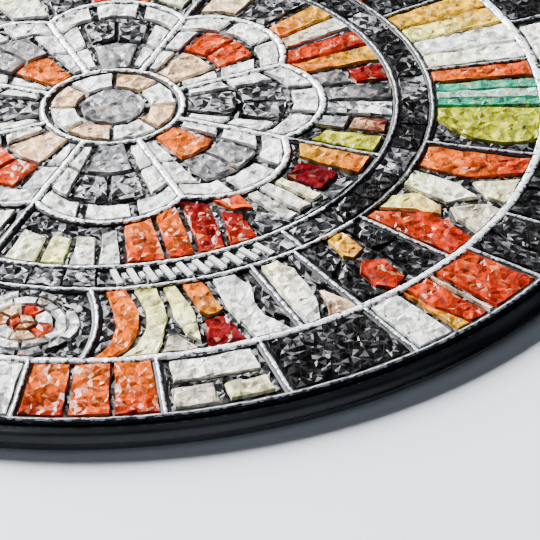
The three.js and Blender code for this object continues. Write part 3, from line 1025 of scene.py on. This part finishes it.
MIDDLE_LAYOUTS = [
    round_shards([
        (3, 0.3 * MM, 2.2 * MM, [BROWN, ORANGE, PEACH]),
        (7, 2.3 * MM, 4.9 * MM, [ORANGE, PEACH, WHITE, BROWN, PEACH, RED, WHITE]),
        (9, 5.0 * MM, 7.0 * MM, [WHITE, SMOKE, WHITE]),
        (13, 7.1 * MM, 8.9 * MM, [WHITE, CRACKLE, SMOKE, CRACKLE]),
    ]),
    [
        ([(0.02, 1.0), (0.07, 0.8), (0.08, 0.5), (0.05, 0.0), (0.20, 0.0), (0.23, 0.35), (0.22, 0.6),
          (0.17, 0.87), (0.11, 1.0)], AMBER),
        ([(0.14, 1.0), (0.20, 0.85), (0.25, 0.6), (0.26, 0.3), (0.23, 0.0), (0.39, 0.0), (0.38, 0.43),
          (0.36, 0.64), (0.32, 1.0)], PALE_YELLOW, CREAM),
        ([(0.42, 0.0), (0.51, 0.0), (0.54, 0.41), (0.54, 0.92), (0.46, 0.76), (0.41, 0.45)],
         PALE_YELLOW, CREAM),
        ([(0.36, 0.76), (0.42, 0.74), (0.52, 1.0), (0.34, 1.0)], BEIGE),
        ([(0.54, 0.0), (0.69, 0.0), (0.70, 0.5), (0.60, 0.55), (0.56, 0.45)], AMBER, YELLOW),
        ([(0.57, 0.60), (0.69, 0.57), (0.76, 1.0), (0.55, 1.0)], RED, DARK_RED),
        ([(0.74, 0.0), (0.90, 0.0), (0.94, 0.25), (0.89, 0.5), (0.90, 0.72), (0.98, 1.0),
          (0.79, 1.0), (0.72, 0.52)], WHITE),
        ([(0.93, 0.46), (1.0, 0.25), (1.0, 0.9), (0.94, 0.72)], CRACKLE),
    ],
    [
        ([(0.08, 0.0), (0.56, 0.0), (0.72, 0.2), (0.67, 0.5), (0.50, 0.8), (0.30, 1.0),
          (0.0, 1.0), (0.0, 0.5)], CREAM, WHITE),
        ([(0.74, 0.56), (1.0, 0.86), (1.0, 1.0), (0.42, 1.0), (0.60, 0.82)], BEIGE, PEACH),
        ([(0.82, 0.0), (1.0, 0.0), (1.0, 0.78), (0.80, 0.5)], CRACKLE),
    ],
    [
        ([(0.33, 0.3), (0.40, 0.0), (0.66, 0.0), (0.61, 0.34), (0.38, 0.4)], YELLOW, AMBER),
        ([(0.27, 0.6), (0.42, 0.46), (0.62, 0.58), (0.56, 0.92), (0.36, 1.0), (0.24, 0.85)], ORANGE, RED),
        ([(0.0, 0.0), (0.36, 0.0), (0.29, 0.34), (0.0, 0.5)], BLACK),
        ([(0.0, 0.54), (0.28, 0.4), (0.22, 0.9), (0.30, 1.0), (0.0, 1.0)], BLACK),
        ([(0.70, 0.0), (1.0, 0.0), (1.0, 0.46), (0.66, 0.4)], BLACK),
        ([(0.67, 0.46), (1.0, 0.5), (1.0, 1.0), (0.60, 1.0)], BLACK),
    ],
    [
        ([(0.0, 0.0), (0.09, 0.0), (0.25, 0.38), (0.25, 0.68), (0.19, 1.0), (0.0, 1.0)], ORANGE, RED),
        ([(0.13, 0.0), (0.30, 0.0), (0.43, 0.2), (0.35, 0.5), (0.28, 0.58), (0.24, 0.3)], PALE_YELLOW, AMBER),
        ([(0.46, 0.0), (0.66, 0.0), (0.62, 0.48), (0.54, 0.74), (0.40, 0.5)], CREAM, WHITE),
        ([(0.37, 0.56), (0.50, 0.84), (0.49, 1.0), (0.23, 1.0), (0.28, 0.72)], BEIGE),
        ([(0.66, 0.56), (0.78, 1.0), (0.53, 1.0), (0.55, 0.8)], BEIGE, CREAM),
        ([(0.72, 0.0), (0.98, 0.0), (0.98, 1.0), (0.83, 1.0), (0.70, 0.5)], AMBER, RED),
    ],
    [
        ([(0.30, 0.0), (0.48, 0.0), (0.48, 0.5), (0.48, 1.0), (0.14, 1.0), (0.06, 0.72),
          (0.08, 0.4), (0.18, 0.15)], LIME),
        (block(0.50, 0.60), GREEN),
        (block(0.60, 0.70), PALE_GREEN),
        (block(0.70, 0.81), GREEN),
        (block(0.84, 1.0), AMBER, ORANGE),
    ],
    [
        (block(0.0, 0.22), CREAM, WHITE),
        (block(0.24, 0.48), WHITE),
        (block(0.51, 0.74), PALE_YELLOW, YELLOW),
        (block(0.76, 1.0), YELLOW),
    ],
    [
        (block(0.0, 0.16), BLACK),
        ([(0.18, 0.0), (0.30, 0.0), (0.26, 1.0), (0.18, 1.0)], AMBER, RED),
        ([(0.32, 0.0), (0.46, 0.0), (0.46, 1.0), (0.28, 1.0)], CREAM, WHITE),
        (block(0.48, 0.62, 0.0, 0.5), PEACH, BEIGE),
        (block(0.48, 0.62, 0.54, 1.0), RED, DARK_RED),
        ([(0.64, 0.0), (0.80, 0.0), (0.76, 1.0), (0.64, 1.0)], WHITE),
        ([(0.82, 0.0), (1.0, 0.0), (1.0, 1.0), (0.78, 1.0)], BLACK),
    ],
]
for i, (from_angle, to_angle) in enumerate(starts(MIDDLE_START, MIDDLE_SWEEPS)):
    node = f"middle_pane_{i + 1:02d}"
    bow_from = {0: -MOTIF_BOW, 1: MOTIF_BOW}.get(i % 8, 0.0)
    bow_to = {7: -MOTIF_BOW, 0: MOTIF_BOW}.get(i % 8, 0.0)
    cell = Cell(between(BAND_OUTER, 1), between(MIDDLE_OUTER, -1), from_angle, to_angle, bow_from, bow_to)
    glass_pane(node, cell, MIDDLE_LAYOUTS[i % len(MIDDLE_LAYOUTS)], seed=100 + i)

# The dark band: black glass all round, and in its near arc a row of slanted white strokes with
# small squares between, which are slips of white glass fused to its face.
BAND_MIDDLE = (BAND_INNER + BAND_OUTER) / 2
STROKES = 19
STROKE_FROM = -88
STROKE_TO = -61
STROKE_STEPS = 40
STROKE_WIDTH = 1.0 * MM
STROKE_LENGTH = 4.2 * MM
STROKE_SHORT = 0.36
STROKE_THICKNESS = 0.5 * MM
STROKE_SLANT = 0.28

BAND_LAYOUTS = [
    [(block(k / 9, (k + 1) / 9), CRACKLE) for k in (0, 1, 2, 8)],
    [(block(k / 14, (k + 1) / 14), (CRACKLE, BLACK, BLACK)[k % 3]) for k in range(14)],
]
for i, (from_angle, to_angle) in enumerate(starts(BAND_START, BAND_SWEEPS)):
    node = f"band_pane_{i + 1:02d}"
    cell = Cell(between(BAND_INNER, 1), between(BAND_OUTER, -1), from_angle, to_angle)
    glass_pane(node, cell, BAND_LAYOUTS[i % len(BAND_LAYOUTS)], seed=200 + i)

tree, given = node_group("row_of_strokes", [
    ("Count", "NodeSocketInt", STROKES),
    ("Width", "NodeSocketFloat", STROKE_WIDTH),
    ("Length", "NodeSocketFloat", STROKE_LENGTH),
    ("Short", "NodeSocketFloat", STROKE_SHORT),
    ("Thickness", "NodeSocketFloat", STROKE_THICKNESS),
    ("Slant", "NodeSocketFloat", STROKE_SLANT),
    ("Material", "NodeSocketMaterial", None),
])
start = Wire(tree)
station_sockets = {"Curve": given["Geometry"], "Count": given["Count"]}
stations = start.node("GeometryNodeCurveToPoints", station_sockets, mode="COUNT")
bar_size = vector_of(start, given["Width"], given["Length"], given["Thickness"])
bar = start.node("GeometryNodeMeshCube", {"Size": bar_size})
turn = start.node("GeometryNodeInputIndex", {})
odd = start.math("MODULO", turn, 2.0)
tall = vector_of(start, 1.0 - odd * 0.25, 1.0 - odd * (1.0 - given["Short"]), 1.0)
row_sockets = {"Points": stations, "Instance": bar, "Scale": tall}
row = start.node("GeometryNodeInstanceOnPoints", row_sockets)
own_place = start.node("GeometryNodeInputPosition", {})
bearing = start.math("ARCTAN2", part_of(start, own_place, "Y"), part_of(start, own_place, "X"))
spin = vector_of(start, 0.0, 0.0, bearing + (math.pi / 2) + given["Slant"])
turned = start.node("GeometryNodeRotateInstances", {"Instances": row, "Rotation": spin})
end_group(tree, turned, given["Material"])

slip, start = new_material("white_glass_slips")
place = start.node("ShaderNodeTexCoord", {}, output="Object")
mottle = noise(start, place, 900.0, 3.0)
finish_material(start, {
    "Base Color": mottle.clamped(0.3, 0.6).blend((0.62, 0.62, 0.62, 1), (0.93, 0.94, 0.93, 1)),
    "Roughness": mottle * 0.2 + 0.1,
    "Normal": bump(start, mottle, 0.6, 0.2 * MM),
})
stroke_arc = [
    spot(BAND_MIDDLE, STROKE_FROM + (STROKE_TO - STROKE_FROM) * i / STROKE_STEPS, GLASS_TOP + SHARD_RISE)
    for i in range(STROKE_STEPS + 1)
]
stroke_path = line_object("stroke_arc", [(stroke_arc, False)])
strokes = grow(stroke_path, tree, {"Material": slip}, "band_strokes", smooth=False)
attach(strokes, "root")
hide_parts("band_pane_01")

# The rosette's border: four panes between the petals' round ends and the band, each a mosaic of
# upright tiles in whites, ambers and reds, with crackled ones between.
BORDER_LAYOUTS = [
    [
        (block(0.02, 0.09, 0.42, 1.0), WHITE, CREAM), (block(0.10, 0.155, 0.36, 1.0), CREAM, PALE_YELLOW),
        (block(0.165, 0.22, 0.30, 1.0), CREAM, WHITE),
        ([(0.23, 0.2), (0.275, 0.1), (0.28, 1.0), (0.23, 1.0)], SMOKE, WHITE),
        ([(0.29, 0.06), (0.377, 0.0), (0.377, 1.0), (0.29, 1.0)], AMBER, RED),
        ([(0.387, 0.0), (0.462, 0.0), (0.442, 1.0), (0.383, 1.0)], AMBER, RED),
        ([(0.475, 0.0), (0.556, 0.12), (0.511, 1.0), (0.45, 1.0)], DARK_RED, RED),
        ([(0.567, 0.28), (0.61, 0.45), (0.59, 1.0), (0.518, 1.0)], DARK_RED, RED),
        ([(0.57, 0.0), (0.66, 0.0), (0.65, 0.4), (0.60, 0.3)], ORANGE, AMBER),
        ([(0.60, 1.0), (0.62, 0.5), (0.665, 0.45), (0.68, 1.0)], CRACKLE),
        (block(0.672, 0.712, 0.05, 0.9), BEIGE, WHITE), (block(0.72, 0.765, 0.0, 0.85), WHITE, BEIGE),
        (block(0.773, 0.81, 0.05, 0.8), CREAM, BEIGE), (block(0.82, 0.91, 0.1, 0.72), DARK_RED),
        (block(0.69, 0.80, 0.92, 1.0), CRACKLE), (block(0.81, 0.91, 0.78, 1.0), CRACKLE),
        (block(0.925, 1.0, 0.1, 0.95), YELLOW, AMBER),
    ],
    [
        (block(0.0, 0.07, 0.2, 0.95), LEMON, LIME), (block(0.09, 0.15, 0.45, 0.95), PEACH, DARK_RED),
        (block(0.09, 0.15, 0.0, 0.40), SMOKE), (block(0.165, 0.23), CRACKLE, SMOKE),
        (block(0.24, 0.31), SMOKE, CRACKLE), (block(0.33, 0.40, 0.5, 1.0), RED, DARK_RED),
        (block(0.33, 0.40, 0.0, 0.45), SMOKE, CRACKLE), (block(0.42, 0.49), AMBER, YELLOW),
        (block(0.50, 0.57), ORANGE, RED), (block(0.59, 0.65), PEACH, WHITE),
        (block(0.66, 0.73), AMBER, YELLOW), (block(0.75, 0.85), CRACKLE),
        (block(0.87, 0.98, 0.1, 1.0), PEACH, CREAM),
    ],
    [
        (block(0.02, 0.12, 0.1, 1.0), CREAM, WHITE), (block(0.14, 0.23), AMBER, RED),
        (block(0.24, 0.33), ORANGE, RED), (block(0.35, 0.46), CRACKLE),
        (block(0.48, 0.60, 0.1, 1.0), WHITE, CREAM), (block(0.62, 0.72), CRACKLE),
        (block(0.74, 0.85), DARK_RED, RED), (block(0.87, 0.98, 0.1, 1.0), YELLOW, AMBER),
    ],
    [
        (block(0.02, 0.12, 0.1, 1.0), YELLOW, AMBER), (block(0.14, 0.25), CRACKLE),
        (block(0.27, 0.36), AMBER, ORANGE), (block(0.38, 0.48, 0.1, 1.0), PEACH, CREAM),
        (block(0.50, 0.62), CRACKLE), (block(0.64, 0.73), RED, DARK_RED),
        (block(0.74, 0.83), ORANGE, AMBER), (block(0.85, 0.98, 0.1, 1.0), WHITE, CREAM),
    ],
]
for i, (from_angle, to_angle) in enumerate(starts(ROSETTE_START, BORDER_SWEEPS)):
    node = f"border_pane_{i + 1}"
    cell = Cell(lobe_reach, between(BAND_INNER, -1), from_angle, to_angle)
    glass_pane(node, cell, BORDER_LAYOUTS[i], seed=300 + i)

# The rosette: eight petals round a centre boss, in smoky white and grey, with orange or peach in
# every other one, and each with a paler border inside its edge.
PETAL_COLOURS = [(SMOKE, CRACKLE), (AMBER, SMOKE), (CRACKLE, CRACKLE), (PEACH, ORANGE)] * 2
CENTRE_SIDES = 48
CENTRE_TILES = 8
TILES_FROM = 0.28
TILES_TO = 0.48
BOSS_REACH = 0.25

for i, (heart, tip) in enumerate(PETAL_COLOURS):
    node = f"petal_{i + 1}"
    from_angle = ROSETTE_START + PETAL_SWEEP * i
    cell = Cell(
        between(CENTRE_RADIUS, 1),
        lambda angle, margin: lobe_reach(angle, -margin),
        from_angle,
        from_angle + PETAL_SWEEP,
    )
    shards = [(block(u, u + 0.17, v, v + 0.34), WHITE) for u in (0.0, 0.83) for v in (0.04, 0.42)]
    shards += [(block(u, u + 0.3, 0.80, 1.0), WHITE) for u in (0.0, 0.35, 0.70)]
    shards += [(block(u, u + 0.27, 0.42, 0.76), tip) for u in (0.22, 0.51)]
    shards.append((block(0.24, 0.76, 0.0, 0.38), heart))
    glass_pane(node, cell, shards, seed=400 + i)


class Disc(Cell):
    """The round centre's place: u runs from 0 to 1 across it to the right, and v upwards."""

    def spot(self, u, v, margin):
        return ((2 * u - 1) * (CENTRE_RADIUS - margin), (2 * v - 1) * (CENTRE_RADIUS - margin))

    def outline(self, margin):
        turns = np.linspace(0, 2 * math.pi, CENTRE_SIDES + 1)[:-1]
        return np.array([(math.cos(t), math.sin(t)) for t in turns]) * (CENTRE_RADIUS - margin)


def corners_round(reach, turns):
    """Corners in u and v at a reach from the disc's middle, one at each turn."""
    return [(0.5 + reach * math.cos(t), 0.5 + reach * math.sin(t)) for t in turns]


shards = []
for k in range(CENTRE_TILES):
    turns = [math.radians(45 * k + part) for part in (1.5, 22.5, 43.5)]
    loop = corners_round(TILES_FROM, turns[::-1]) + corners_round(TILES_TO, turns)
    shards.append((loop, PEACH if k % 2 else WHITE))
shards.append((corners_round(BOSS_REACH, np.linspace(0, 2 * math.pi, 13)[:-1]), SMOKE))
disc = Disc(between(0.0, 0), between(CENTRE_RADIUS, -1), -180.0, 180.0)
glass_pane("centre_pane", disc, shards, seed=500)

# Behind the centre pane: a low round boss of smoky glass, the one free flat face at the back by
# which the panel can lie or be fixed.
BOSS_RADIUS = CENTRE_RADIUS - 2.05 * MM
BOSS_RISE = 0.3 * MM
BOSS_SIDES = 64
BOSS_CORNERS = range(BOSS_SIDES)
boss_spots = []
for height in (GLASS_BOTTOM - BOSS_RISE, GLASS_BOTTOM + BOSS_RISE):
    boss_spots += [spot(BOSS_RADIUS, 360 * k / BOSS_SIDES, height) for k in BOSS_CORNERS]
boss_faces = [tuple(BOSS_CORNERS)[::-1], tuple(k + BOSS_SIDES for k in BOSS_CORNERS)]
for k in BOSS_CORNERS:
    after = (k + 1) % BOSS_SIDES
    boss_faces.append((k, after, BOSS_SIDES + after, BOSS_SIDES + k))
boss_mesh = bpy.data.meshes.new("centre_boss_behind")
boss_mesh.from_pydata(boss_spots, [], boss_faces)
tints = boss_mesh.color_attributes.new("tint", "FLOAT_COLOR", "CORNER")
tints.data.foreach_set("color", [*SMOKE, 1.0] * len(boss_mesh.loops))
boss_mesh.materials.append(glass)
boss = linked("centre_boss_behind", boss_mesh)
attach(boss, "root")
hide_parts("centre_pane")
